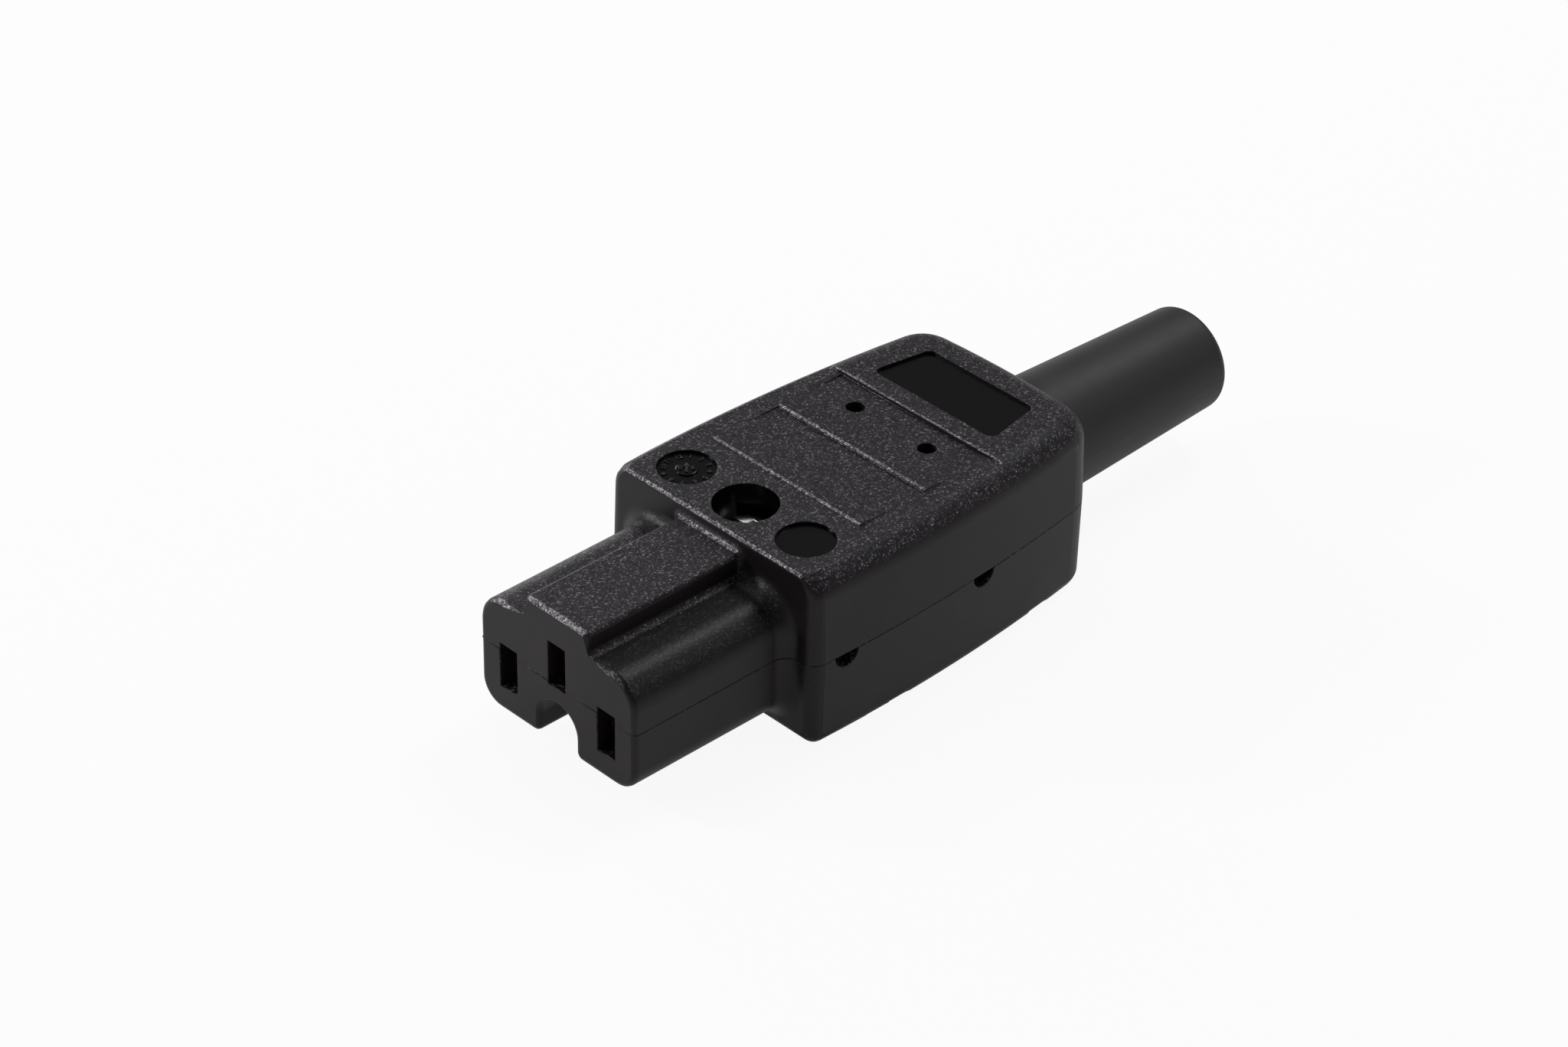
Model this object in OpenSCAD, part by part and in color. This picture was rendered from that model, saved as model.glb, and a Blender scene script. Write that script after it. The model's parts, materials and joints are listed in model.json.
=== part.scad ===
// Three-pole appliance connector of the hot-condition pattern, rewirable.
// Two housing shells meet on a level parting plane. Inside them are three
// contacts with steel springs, terminals, a divider and a cord clamp.
// X is the width, the engagement face looks along -Y, the sleeve leaves
// along +Y and the underside lies on Z = 0. Lengths are in millimetres.

/* [Overall] */
// Length from the engagement face to the end of the cord sleeve
connector_length = 88.5; // [80:0.1:96]
// Height of the housing from its underside to its rear top panel
body_height = 19.7; // [17:0.1:22]
// Height of the plane on which the two shells meet
parting_height = 9.7; // [8:0.1:11]
// Distance from the engagement face to the front of the body, on the parting plane
front_run = 19.75; // [17:0.05:23]

/* [Body outline] */
// Half width of the body at its widest, on the parting plane
body_half_width = 14.9; // [13:0.1:17]
// Radius of the long bowed sides on the parting plane
side_radius = 200; // [150:1:260]
// Distance from the engagement face to the widest place of the sides
widest_run = 28.8; // [26:0.1:34]
// Distance from the engagement face to the rear face on the parting plane
rear_run = 61.9; // [57:0.1:66]
// Radius of the bowed rear face
rear_radius = 120; // [80:1:200]
// Inward lean of the outer faces, as run over height
draft_share = 0.02; // [0.01:0.005:0.06]
// Corner radius in plan at the front of the body, on the parting plane
front_corner = 1.5; // [1.3:0.1:3]
// Corner radius in plan at the rear of the body, on the parting plane
rear_corner = 4.5; // [3.5:0.1:6]
// Rounding of the long top edges and the rear top edge
top_edge = 3; // [2:0.1:3.4]
// Rounding of the top front edge
front_edge = 0.8; // [0.4:0.1:1.2]
// Rounding of the edges of the underside
bottom_edge = 1.2; // [0.6:0.1:1.2]
// Thickness of the shell walls
wall = 2; // [1.6:0.1:2.4]

/* [Grip and recesses] */
// Distances from the front of the body to the three grip steps
step_runs = [10.05, 18.85, 27.75]; // [8:0.05:30]
// Half width of the two inner grip steps
step_half_width = 10.3; // [9:0.1:11]
// Drop of each grip panel from its front line to its rear line
step_drop = 0.34; // [0.2:0.02:0.5]
// Depth of the grip zone's margins below the rear top panel
margin_drop = 0.2; // [0.1:0.02:0.3]
// Diameter of the two round recesses near the front
disc_diameter = 6; // [5:0.1:7]
// Distance of each round recess from the middle plane
disc_offset = 8.45; // [7.5:0.05:9]
// Distance from the front of the body to the screw and the round recesses
screw_run = 4.8; // [4:0.05:6]
// Depth of the round recesses and the panel recess
recess_depth = 0.35; // [0.2:0.05:0.5]
// Diameter of the raised hub in the dial recess
dial_hub = 2.3; // [1.5:0.1:3]
// Distance from the front of the body to the near edge of the panel recess
panel_run = 30.25; // [28:0.05:31]
// Length of the panel recess
panel_length = 7; // [6:0.1:8]
// Half widths of the panel recess at its front and its rear edge
panel_half_widths = [8.3, 7.4]; // [7:0.1:9]
// Corner radius of the panel recess
panel_corner = 0.9; // [0.5:0.1:1.4]
// Diameter of the two round vents
vent_diameter = 1.95; // [1.5:0.05:2.4]
// Distance of each round vent from the middle plane
vent_offset = 5.05; // [4:0.05:6]
// Distance from the front of the body to the round vents
vent_run = 24.5; // [22:0.05:26]
// Radius of the half-round openings under the parting plane
side_vent_radius = 1.5; // [1:0.05:2]
// Distances from the engagement face to the half-round openings
side_vent_runs = [24.1, 43.3]; // [22:0.1:46]

/* [Nose] */
// Half width of the nose
nose_half_width = 11.05; // [10.5:0.05:11.5]
// Height of the nose's underside
nose_bottom = 2.6; // [2:0.05:3.5]
// Height of the shoulders beside the ridge
shoulder_height = 15.5; // [14.5:0.1:16]
// Height of the top of the ridge
ridge_height = 18.05; // [17:0.05:18.6]
// Half width of the ridge
ridge_half_width = 4.45; // [4:0.05:5]
// Radius of the nose's upper outer corners
nose_top_corner = 3.5; // [2.5:0.1:4]
// Radius of the nose's lower outer corners
nose_low_corner = 2.7; // [1.8:0.1:3]
// Radius of the ridge's top corners
ridge_corner = 0.6; // [0.2:0.1:0.8]
// Hollow rounding along the foot of the ridge
ridge_foot = 0.7; // [0.3:0.1:1]
// Half width of the coding notch under the earth contact
notch_half_width = 2.6; // [2:0.1:3]
// Height of the crown of the coding notch
notch_top = 7.4; // [6.8:0.1:8]
// Depth of the coding notch behind the engagement face
notch_depth = 16.5; // [14:0.5:18]
// Radius of the flare where the notch meets the underside
notch_flare = 0.9; // [0.6:0.1:1.5]
// Radius of the fillet between the nose and the body
root_fillet = 1.8; // [0.8:0.1:2]
// Hollow rounding where the ridge runs into the body
ridge_fillet = 0.9; // [0.5:0.1:1.1]

/* [Contacts] */
// Distance between the line and neutral contact centres
pin_pitch = 14; // [13.8:0.1:14.2]
// Height of the line and neutral contact centres
line_height = 7.9; // [7.5:0.1:8.3]
// Rise of the earth contact centre above the other two
earth_rise = 4; // [3.8:0.1:4.2]
// Width and height of a contact slot
slot_size = [2.46, 5.04]; // [2:0.02:6]
// Thickness of the wall behind the engagement face
face_wall = 1.8; // [1.4:0.1:2.4]
// Half width and half height of a contact chamber
chamber_half = [2, 3]; // [1.8:0.1:3.4]
// Length of the contact blades
blade_length = 10.6; // [9:0.1:11.4]
// Thickness of the contact blades
blade_thickness = 0.5; // [0.4:0.05:0.6]
// Half height of the contact blades
blade_half_height = 2.6; // [2.3:0.1:2.8]
// Gap between the blades where they pinch the pin
pinch_gap = 1.8; // [1.5:0.1:2]
// Thickness of the steel spring bands
band_thickness = 0.4; // [0.3:0.05:0.5]
// Thickness of the contact tails
tail_thickness = 0.8; // [0.6:0.1:1]
// Height of the contact tails
tail_height = 2.2; // [1.8:0.1:2.6]
// Sideways set of the earth tail round the screw post
tail_set = 4.1; // [3.8:0.1:4.4]

/* [Terminals] */
// Width, length and height of a terminal block
block_size = [4.8, 7.5, 6]; // [4:0.1:8]
// Distance from the engagement face to the line and neutral blocks
block_run = 23; // [22.5:0.1:25]
// Distance from the engagement face to the earth block
earth_block_run = 33.5; // [32:0.1:35]
// Width, depth and height of the conductor window in a block
window_size = [3, 6, 3.2]; // [2.4:0.1:6.5]
// Height of the window sill above the block's underside
window_sill = 1.1; // [0.8:0.1:1.5]
// Width, length and thickness of a clamping plate
plate_size = [2.8, 5.2, 0.6]; // [0.4:0.1:6]

/* [Fasteners] */
// Thread radius of all the screws
thread_radius = 1.5; // [1.25:0.05:1.75]
// Head radius and head height of the housing screw
housing_head = [2.85, 2.3]; // [1.8:0.05:3.1]
// Depth of the housing screw's head below the rear top panel
head_depth = 3.1; // [2.6:0.1:3.6]
// Diameter of the counterbore over the housing screw
counterbore = 6.7; // [6:0.1:7.5]
// Width across the flats and thickness of the housing nut
nut_size = [5.5, 2.4]; // [2:0.1:6]
// Depth of the nut's pocket in the underside
nut_pocket = 3; // [2.6:0.1:3.6]
// Head radius and head height of the terminal and clamp screws
small_head = [2.3, 1.9]; // [1.6:0.1:2.6]
// Width and depth of the screwdriver slots
driver_slot = [0.7, 0.9]; // [0.5:0.1:1.2]

/* [Cord parts] */
// Height of the axis of the cord and its sleeve
cord_height = 8.9; // [8:0.05:9.5]
// Radius of the passage for the cord
cord_radius = 4.3; // [3.5:0.1:4.5]
// Radius of the sleeve where it leaves the housing
sleeve_root = 6.8; // [6.2:0.05:7.2]
// Radius of the sleeve at its free end
sleeve_tip = 5.75; // [5.4:0.05:6.4]
// Rounding of the sleeve's free end
sleeve_round = 1; // [0.4:0.1:1.4]
// Radius and thickness of the flange that holds the sleeve
flange_size = [7, 1.8]; // [1.4:0.1:7.4]
// Radius of the sleeve's neck in the housing wall
neck_radius = 5.6; // [5:0.1:6]
// Length of the neck
neck_length = 1.5; // [1.2:0.1:2]
// Distance from the engagement face to the rear of the flange
flange_run = 58.4; // [57:0.1:59]
// Distance from the engagement face to the middle of the cord clamp
clamp_run = 48.6; // [47:0.1:50]
// Length of the cord clamp along the cord
clamp_length = 4.4; // [3.8:0.1:5]
// Thickness of the clamp's ends
clamp_thickness = 3.2; // [2.6:0.1:3.8]
// Radius of the open channel for the cord between clamp and saddle
clamp_seat = 4.6; // [4.4:0.1:5]
// Radius of the clamp's hump over the cord
clamp_hump = 6.1; // [5.6:0.1:6.5]
// Radius of the bosses under the clamp
clamp_boss = 2.7; // [2.4:0.1:3]
// Radius and length of the threaded inserts
insert_size = [2, 5.6]; // [1.8:0.1:6.5]

/* [Fits] */
// Play between fitted parts
play = 0.1; // [0.05:0.05:0.2]
// Height of the lip that aligns the shells
lip_height = 1; // [0.6:0.1:1.4]
// Thickness of the lip
lip_thickness = 0.9; // [0.6:0.1:1]
// Thickness of ribs, fins and small bosses
rib = 1.2; // [1:0.1:1.6]

/* [Hidden] */
over = wall / 2;
seam = play / 5;
head_shares = [0.6, 0.8];
blade_shares = [0.12, 0.34, 0.8];
cross_share = 0.5;
tail_share = 0.75;
thread_share = 0.8;
insert_floor_share = 0.1;
fine = 180;
round_steps = 48;
face_y = -connector_length / 2;
front_y = face_y + front_run;
rear_y = face_y + rear_run;
widest_y = face_y + widest_run;
side_centre = [body_half_width - side_radius, widest_y];
rear_centre = [0, rear_y - rear_radius];
lean = atan(draft_share);
foot_edge = min(bottom_edge, front_corner - seam * 2 - draft_share * parting_height);
base_top = body_height - margin_drop;
step_ys = [for (run = step_runs) front_y + run];
screw_y = front_y + screw_run;
seat_height = body_height - head_depth - housing_head[1];
boss_wall = rib;
post_radius = thread_radius + play + boss_wall;
cavity_front = face_y + block_run - rib;
cavity_rear = face_y + flange_run;
floor_height = wall;
roof_height = body_height - wall;
pin_half = pin_pitch / 2;
earth_height = line_height + earth_rise;
contact_front = face_y + face_wall + play;
tail_mid = seat_height - rib - play - tail_height / 2;
block_bottom = line_height - block_size[2] / 2;
block_wall = body_half_width - wall - draft_share * (parting_height - block_bottom);
block_offset = (tail_set + tail_thickness / 2 + block_wall) / 2;
earth_block_bottom = roof_height - small_head[1] - block_size[2] - rib / 2;
housing_shank = seat_height - nut_pocket + nut_size[1];
base_half_width = body_half_width - wall - draft_share * parting_height - rib;
clamp_y = face_y + clamp_run;
clamp_drop = pow(clamp_run + clamp_length / 2 - widest_run, 2) / side_radius / 2;
clamp_half_width = body_half_width - wall - clamp_drop - draft_share * clamp_thickness - play * 4;
clamp_offset = clamp_half_width - small_head[0] - play * 3;
neck_y = cavity_rear;
root_y = neck_y + neck_length;
rib_y = neck_y - flange_size[1] - play;

// Centre of a corner arc of radius r that touches a side arc and another line of centres
function arc_corner(r) =
    let (near = side_radius - r,
        far = rear_radius - r,
        gap = rear_centre - side_centre,
        span = norm(gap),
        along = (near * near - far * far + span * span) / (2 * span),
        off = sqrt(near * near - along * along),
        unit = gap / span)
    side_centre + unit * along + [-unit[1], unit[0]] * off;

// Centre of a front corner arc that touches the front plane and a side arc
function front_centre(r) =
    let (y = front_y + r)
    [side_centre[0] + sqrt(pow(side_radius - r, 2) - pow(y - widest_y, 2)), y];

// Outer half of a circle, for rounding the corner of a wall section
module round_nib(radius) {
    intersection() {
        circle(r = radius, $fn = round_steps);
        translate([0, -radius])
            square([radius, radius * 2]);
    }
}

// Half of an outer wall section, drawn from the parting line of its outer face
module wall_section(reach, depth, low, high, low_round, high_round) {
    up = high - parting_height;
    down = parting_height - low;
    high_mid = -(up - high_round) * draft_share - high_round / cos(lean);
    low_mid = -(down - low_round) * draft_share - low_round / cos(lean);
    translate([reach, parting_height]) {
        polygon([
            [-depth, -down],
            [low_mid, -down],
            [low_mid + low_round * cos(lean), low_round - down - low_round * sin(lean)],
            [0, 0],
            [high_mid + high_round * cos(lean), up - high_round + high_round * sin(lean)],
            [high_mid, up],
            [-depth, up]]);
        translate([low_mid, low_round - down])
            round_nib(low_round);
        translate([high_mid, up - high_round])
            round_nib(high_round);
    }
}

// Ring whose outer surface is one bowed side of the body
module side_ring(inset, low, high, low_round, high_round) {
    translate([side_centre[0], side_centre[1]])
        rotate_extrude($fn = fine)
            wall_section(side_radius - inset, body_half_width * 3, low, high, low_round, high_round);
}

// Ring whose outer surface is the bowed rear face of the body
module rear_ring(inset, low, high, low_round, high_round) {
    translate([rear_centre[0], rear_centre[1]])
        rotate_extrude($fn = fine)
            wall_section(rear_radius - inset, rear_run, low, high, low_round, high_round);
}

// Drafted disc that forms a rounded corner of the body
module corner_disc(centre, radius, low, high, low_round, high_round) {
    translate([centre[0], centre[1]])
        rotate_extrude($fn = round_steps)
            intersection() {
                wall_section(radius, radius, low, high, low_round, high_round);
                translate([0, low])
                    square([radius * 2, high - low]);
            }
}

// Sector in plan between two directions, reaching past the body
module corner_sector(centre, first, second, reach) {
    polygon([centre, centre + first * reach, centre + (first + second) * reach, centre + second * reach]);
}

// Everything behind the drafted front of the body
module front_wall(low, high) {
    rotate([90, 0, 90])
        linear_extrude(height = body_half_width * 3, center = true)
            mirror([1, 0])
                wall_section(-front_y, rear_y - front_y + over, low, high, foot_edge, front_edge);
}

// Cutter that leaves a rounded corner of the body: a sector less its drafted disc
module corner_cutter(centre, first, second, radius, high_round) {
    difference() {
        translate([0, 0, -over])
            linear_extrude(height = body_height + over * 2)
                corner_sector(centre, first, second, body_half_width);
        corner_disc(centre, radius - seam, 0, body_height, foot_edge, high_round);
    }
}

// Outer form of the body with its corners rounded
module body_form() {
    rear_mid = arc_corner(rear_corner);
    front_mid = front_centre(front_corner);
    rear_side = (rear_mid - side_centre) / norm(rear_mid - side_centre);
    rear_back = (rear_mid - rear_centre) / norm(rear_mid - rear_centre);
    front_side = (front_mid - side_centre) / norm(front_mid - side_centre);
    difference() {
        intersection() {
            side_ring(0, 0, body_height, foot_edge, top_edge);
            mirror([1, 0, 0])
                side_ring(0, 0, body_height, foot_edge, top_edge);
            rear_ring(0, 0, body_height, foot_edge, top_edge);
            front_wall(0, body_height);
        }
        for (side = [0, 1])
            mirror([side, 0, 0]) {
                corner_cutter(rear_mid, rear_side, rear_back, rear_corner, top_edge);
                corner_cutter(front_mid, front_side, [0, -1], front_corner, front_edge);
            }
    }
}

// Space inside the body at a given inset, between two heights
module hollow(inset, low, high) {
    intersection() {
        side_ring(inset, 0, body_height, foot_edge, foot_edge);
        mirror([1, 0, 0])
            side_ring(inset, 0, body_height, foot_edge, foot_edge);
        translate([-body_half_width, cavity_front + inset - wall, low])
            cube([body_half_width * 2, cavity_rear - cavity_front + (wall - inset) * 2, high - low]);
    }
}

// Everything above the sawtooth grip panels, seen from the side
module grip_profile() {
    first = step_ys[0];
    second = step_ys[1];
    last = step_ys[2];
    crest = body_height - seam;
    polygon([
        [front_y - over, base_top],
        [first, base_top],
        [first, crest],
        [second, crest - step_drop],
        [second, crest],
        [last, crest - step_drop],
        [last, body_height + over],
        [front_y - over, body_height + over]]);
}

// Body with its stepped grip and lowered margins, still solid
module stepped_body() {
    difference() {
        body_form();
        rotate([90, 0, 90])
            linear_extrude(height = step_half_width * 2, center = true)
                grip_profile();
        for (side = [0, 1])
            mirror([side, 0, 0])
                translate([step_half_width, front_y - over, base_top])
                    cube([body_half_width, step_ys[2] - front_y + over, body_height]);
    }
}

// Corner square less a circle, drawn from the foot of a hollow rounding
module hollow_corner(radius, depth) {
    difference() {
        translate([-depth, -over])
            square([depth + radius, over + radius]);
        translate([radius, radius])
            circle(r = radius, $fn = round_steps);
    }
}

// Outline of the engagement nose, seen from the front
module nose_outline() {
    low_x = nose_half_width - nose_low_corner;
    high_x = nose_half_width - nose_top_corner;
    translate([-low_x, nose_bottom])
        square([low_x * 2, nose_low_corner]);
    translate([-nose_half_width, nose_bottom + nose_low_corner])
        square([nose_half_width * 2, shoulder_height - nose_top_corner - nose_bottom - nose_low_corner]);
    translate([-high_x, shoulder_height - nose_top_corner])
        square([high_x * 2, nose_top_corner]);
    translate([-ridge_half_width, shoulder_height - over])
        square([ridge_half_width * 2, ridge_height - ridge_corner - shoulder_height + over]);
    translate([ridge_corner - ridge_half_width, ridge_height - ridge_corner])
        square([(ridge_half_width - ridge_corner) * 2, ridge_corner]);
    for (side = [-1, 1]) {
        translate([side * low_x, nose_bottom + nose_low_corner])
            circle(r = nose_low_corner, $fn = round_steps);
        translate([side * high_x, shoulder_height - nose_top_corner])
            circle(r = nose_top_corner, $fn = round_steps);
        translate([side * (ridge_half_width - ridge_corner), ridge_height - ridge_corner])
            circle(r = ridge_corner, $fn = round_steps);
    }
    for (side = [0, 1])
        mirror([side, 0])
            translate([ridge_half_width, shoulder_height])
                hollow_corner(ridge_foot, over);
}

// Outline of the coding notch with its flared foot
module notch_outline() {
    crown = notch_top - notch_half_width;
    translate([0, crown])
        circle(r = notch_half_width, $fn = round_steps);
    translate([-notch_half_width, nose_bottom - over])
        square([notch_half_width * 2, crown - nose_bottom + over]);
    difference() {
        translate([-notch_half_width - notch_flare, nose_bottom - over])
            square([(notch_half_width + notch_flare) * 2, notch_flare + over]);
        for (side = [-1, 1])
            translate([side * (notch_half_width + notch_flare), nose_bottom + notch_flare])
                circle(r = notch_flare, $fn = round_steps);
    }
}

// Engagement nose with its notch, running into the body
module nose_form() {
    difference() {
        translate([0, cavity_front, 0])
            rotate([90, 0, 0])
                linear_extrude(height = cavity_front - face_y)
                    nose_outline();
        translate([0, face_y + notch_depth, 0])
            rotate([90, 0, 0])
                linear_extrude(height = notch_depth + over)
                    notch_outline();
    }
}

// Straight length of flare, its wide side on z = 0 and its foot along x = 0
module flare_run(radius, length) {
    rotate([90, 0, 0])
        linear_extrude(height = length, center = true)
            hollow_corner(radius, over);
}

// Quarter turn of flare round a corner of the given radius
module flare_turn(radius, corner) {
    rotate_extrude(angle = 90, $fn = round_steps)
        translate([corner, 0])
            hollow_corner(radius, min(over, corner));
}

// Hollow roundings all round the nose and its ridge where they run into the body
module root_fillets() {
    low_x = nose_half_width - nose_low_corner;
    high_x = nose_half_width - nose_top_corner;
    low_z = nose_bottom + nose_low_corner;
    high_z = shoulder_height - nose_top_corner;
    ridge_x = ridge_half_width - ridge_corner;
    ridge_z = ridge_height - ridge_corner;
    translate([0, front_y, 0])
        rotate([90, 0, 0]) {
            translate([0, nose_bottom])
                rotate([0, 0, -90])
                    flare_run(root_fillet, low_x * 2);
            translate([0, shoulder_height])
                rotate([0, 0, 90])
                    flare_run(root_fillet, high_x * 2);
            translate([0, ridge_height])
                rotate([0, 0, 90])
                    flare_run(ridge_fillet, ridge_x * 2);
            for (side = [0, 1])
                mirror([side, 0, 0]) {
                    translate([nose_half_width, (low_z + high_z) / 2])
                        flare_run(root_fillet, high_z - low_z);
                    translate([high_x, high_z])
                        flare_turn(root_fillet, nose_top_corner);
                    translate([low_x, low_z])
                        rotate([0, 0, -90])
                            flare_turn(root_fillet, nose_low_corner);
                    translate([ridge_half_width, (ridge_z + shoulder_height) / 2])
                        flare_run(ridge_fillet, ridge_z - shoulder_height);
                    translate([ridge_x, ridge_z])
                        flare_turn(ridge_fillet, ridge_corner);
                }
        }
}

// Slots and chambers for the three contacts
module contact_rooms() {
    for (place = [[-pin_half, line_height], [0, earth_height], [pin_half, line_height]])
        translate([place[0], face_y, place[1]]) {
            translate([-slot_size[0] / 2, -over, -slot_size[1] / 2])
                cube([slot_size[0], face_wall + over * 2, slot_size[1]]);
            translate([-chamber_half[0], face_wall, -chamber_half[1]])
                cube([chamber_half[0] * 2, cavity_front - face_y - face_wall + over, chamber_half[1] * 2]);
        }
}

// Lane in which the earth tail passes the screw post
module earth_lane() {
    low = min(parting_height, tail_mid - tail_height / 2 - play);
    high = max(earth_height + chamber_half[1], tail_mid + tail_height / 2 + play);
    translate([-chamber_half[0], face_y + notch_depth, low])
        cube([tail_set + tail_thickness + chamber_half[0],
            cavity_front - face_y - notch_depth + over,
            high - low]);
}

// Openings shared by both shells at the rear: sleeve neck, root and flange
module sleeve_rooms() {
    translate([0, rib_y - rib - over, cord_height])
        rotate([-90, 0, 0])
            cylinder(r = cord_radius + play * 4, h = rib + over * 2, $fn = round_steps);
    translate([0, rib_y, cord_height])
        rotate([-90, 0, 0])
            cylinder(r = flange_size[0] + play, h = neck_y - rib_y, $fn = round_steps);
    translate([0, neck_y - over, cord_height])
        rotate([-90, 0, 0])
            cylinder(r = neck_radius + play, h = neck_length + over * 2, $fn = round_steps);
    translate([0, root_y, cord_height])
        rotate([-90, 0, 0])
            cylinder(r = sleeve_root + play, h = wall * 3, $fn = round_steps);
}

// Half-round openings under the parting plane
module side_vents() {
    for (run = side_vent_runs)
        translate([0, face_y + run, parting_height])
            rotate([0, 90, 0])
                cylinder(r = side_vent_radius, h = body_half_width * 3, center = true, $fn = round_steps);
}

// Plate across the cavity that holds the sleeve's flange
module flange_rib(low, high) {
    translate([-flange_size[0] - rib, rib_y - rib, low])
        cube([(flange_size[0] + rib) * 2, rib, high - low]);
}

// Recess in the top for the plain panel, its corners rounded
module panel_recess() {
    front = front_y + panel_run;
    mid_front = panel_half_widths[0] - panel_corner;
    mid_rear = panel_half_widths[1] - panel_corner;
    near = front + panel_corner;
    far = front + panel_length - panel_corner;
    translate([0, 0, body_height - recess_depth])
        linear_extrude(height = recess_depth + over) {
            polygon([[-mid_front, front], [mid_front, front], [mid_front + panel_corner, near],
                [mid_rear + panel_corner, far], [mid_rear, front + panel_length],
                [-mid_rear, front + panel_length], [-mid_rear - panel_corner, far],
                [-mid_front - panel_corner, near]]);
            for (side = [-1, 1]) {
                translate([side * mid_front, near])
                    circle(r = panel_corner, $fn = round_steps);
                translate([side * mid_rear, far])
                    circle(r = panel_corner, $fn = round_steps);
            }
        }
}

// Round recesses near the front, the left one with a raised hub
module disc_recesses() {
    for (side = [-1, 1])
        translate([side * disc_offset, screw_y, base_top - recess_depth])
            difference() {
                cylinder(d = disc_diameter, h = recess_depth + over, $fn = round_steps);
                if (side < 0)
                    translate([0, 0, -over])
                        cylinder(d = dial_hub, h = over + recess_depth / 2, $fn = round_steps);
            }
}

module upper_shell() {
    color("#26262a")
    difference() {
        union() {
            difference() {
                union() {
                    difference() {
                        stepped_body();
                        hollow(wall, parting_height - over, roof_height);
                    }
                    nose_form();
                    root_fillets();
                }
                translate([-body_half_width * 2, face_y - over, -over])
                    cube([body_half_width * 4, connector_length, parting_height + over]);
                contact_rooms();
                earth_lane();
            }
            translate([0, screw_y, parting_height])
                cylinder(r = post_radius, h = roof_height - parting_height + over / 2, $fn = round_steps);
            translate([0, screw_y, seat_height - rib])
                cylinder(d = counterbore + rib * 2, h = roof_height - seat_height + rib + over / 2,
                    $fn = round_steps);
            intersection() {
                flange_rib(parting_height, roof_height + over / 2);
                hollow(wall / 2, parting_height, body_height);
            }
            difference() {
                hollow(wall - lip_thickness + play, parting_height - lip_height, parting_height);
                hollow(wall, parting_height - body_height, body_height);
                translate([-body_half_width, cavity_front - wall - over, 0])
                    cube([body_half_width * 2, wall + over + rib, body_height]);
                side_vents();
            }
        }
        translate([0, screw_y, 0])
            cylinder(r = thread_radius + play, h = body_height * 2, $fn = round_steps);
        translate([0, screw_y, seat_height])
            cylinder(d = counterbore, h = body_height, $fn = round_steps);
        for (side = [-1, 1])
            translate([side * vent_offset, front_y + vent_run, roof_height - over])
                cylinder(d = vent_diameter, h = wall + over * 2, $fn = round_steps);
        panel_recess();
        disc_recesses();
        sleeve_rooms();
    }
}

module lower_shell() {
    pad_run = face_y + block_run;
    color("#26262a")
    difference() {
        union() {
            difference() {
                union() {
                    body_form();
                    nose_form();
                    root_fillets();
                }
                earth_lane();
                translate([-body_half_width * 2, face_y - over, parting_height])
                    cube([body_half_width * 4, connector_length, body_height]);
                hollow(wall, floor_height, body_height);
                difference() {
                    hollow(wall - lip_thickness, parting_height - lip_height - play, body_height);
                    translate([-body_half_width, cavity_front - wall - over, 0])
                        cube([body_half_width * 2, wall + over + rib, body_height]);
                }
                contact_rooms();
            }
            translate([0, screw_y, 0])
                cylinder(r = post_radius + rib, h = parting_height, $fn = round_steps);
            for (side = [-1, 1]) {
                translate([side * block_offset - block_size[0] / 2, pad_run, floor_height - over / 2])
                    cube([block_size[0], block_size[1], block_bottom - floor_height + over / 2]);
                translate([side * clamp_offset, clamp_y, floor_height - over / 2])
                    cylinder(r = clamp_boss, h = cord_height - floor_height + over / 2, $fn = round_steps);
                translate([side * block_offset, face_y + earth_block_run + block_size[1] / 2,
                    floor_height - over / 2])
                    cylinder(r = rib - play, h = rib + over / 2, $fn = round_steps);
            }
            translate([-cord_radius - rib, clamp_y - clamp_length / 4, floor_height - over / 2])
                cube([(cord_radius + rib) * 2, clamp_length / 2,
                    cord_height - rib - floor_height + over / 2]);
            intersection() {
                flange_rib(floor_height - over / 2, parting_height);
                hollow(wall / 2, 0, parting_height);
            }
        }
        translate([0, screw_y, -over])
            cylinder(r = thread_radius + play, h = body_height, $fn = round_steps);
        translate([0, screw_y, -over])
            cylinder(d = (nut_size[0] + play * 2) / cos(30), h = nut_pocket + over, $fn = 6);
        for (side = [-1, 1])
            translate([side * clamp_offset, clamp_y, cord_height - insert_size[1]])
                cylinder(r = insert_size[0], h = body_height, $fn = round_steps);
        translate([0, clamp_y - clamp_length, cord_height])
            rotate([-90, 0, 0])
                cylinder(r = clamp_seat, h = clamp_length * 2, $fn = round_steps);
        side_vents();
        sleeve_rooms();
    }
}

module cord_sleeve() {
    free = face_y + connector_length;
    slope = (sleeve_root - sleeve_tip) / (free - root_y);
    shoulder = sleeve_tip + slope * sleeve_round;
    color("#1d1c1c")
    translate([0, 0, cord_height])
        rotate([-90, 0, 0])
            difference() {
                rotate_extrude($fn = round_steps * 2) {
                    polygon([
                        [0, neck_y - flange_size[1]],
                        [flange_size[0], neck_y - flange_size[1]],
                        [flange_size[0], neck_y],
                        [neck_radius, neck_y],
                        [neck_radius, root_y],
                        [sleeve_root, root_y],
                        [shoulder, free - sleeve_round],
                        [shoulder - sleeve_round, free],
                        [0, free]]);
                    translate([shoulder - sleeve_round, free - sleeve_round])
                        circle(r = sleeve_round, $fn = round_steps);
                }
                translate([0, 0, rib_y - over])
                    cylinder(r = cord_radius, h = connector_length, $fn = round_steps * 2);
            }
}

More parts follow.
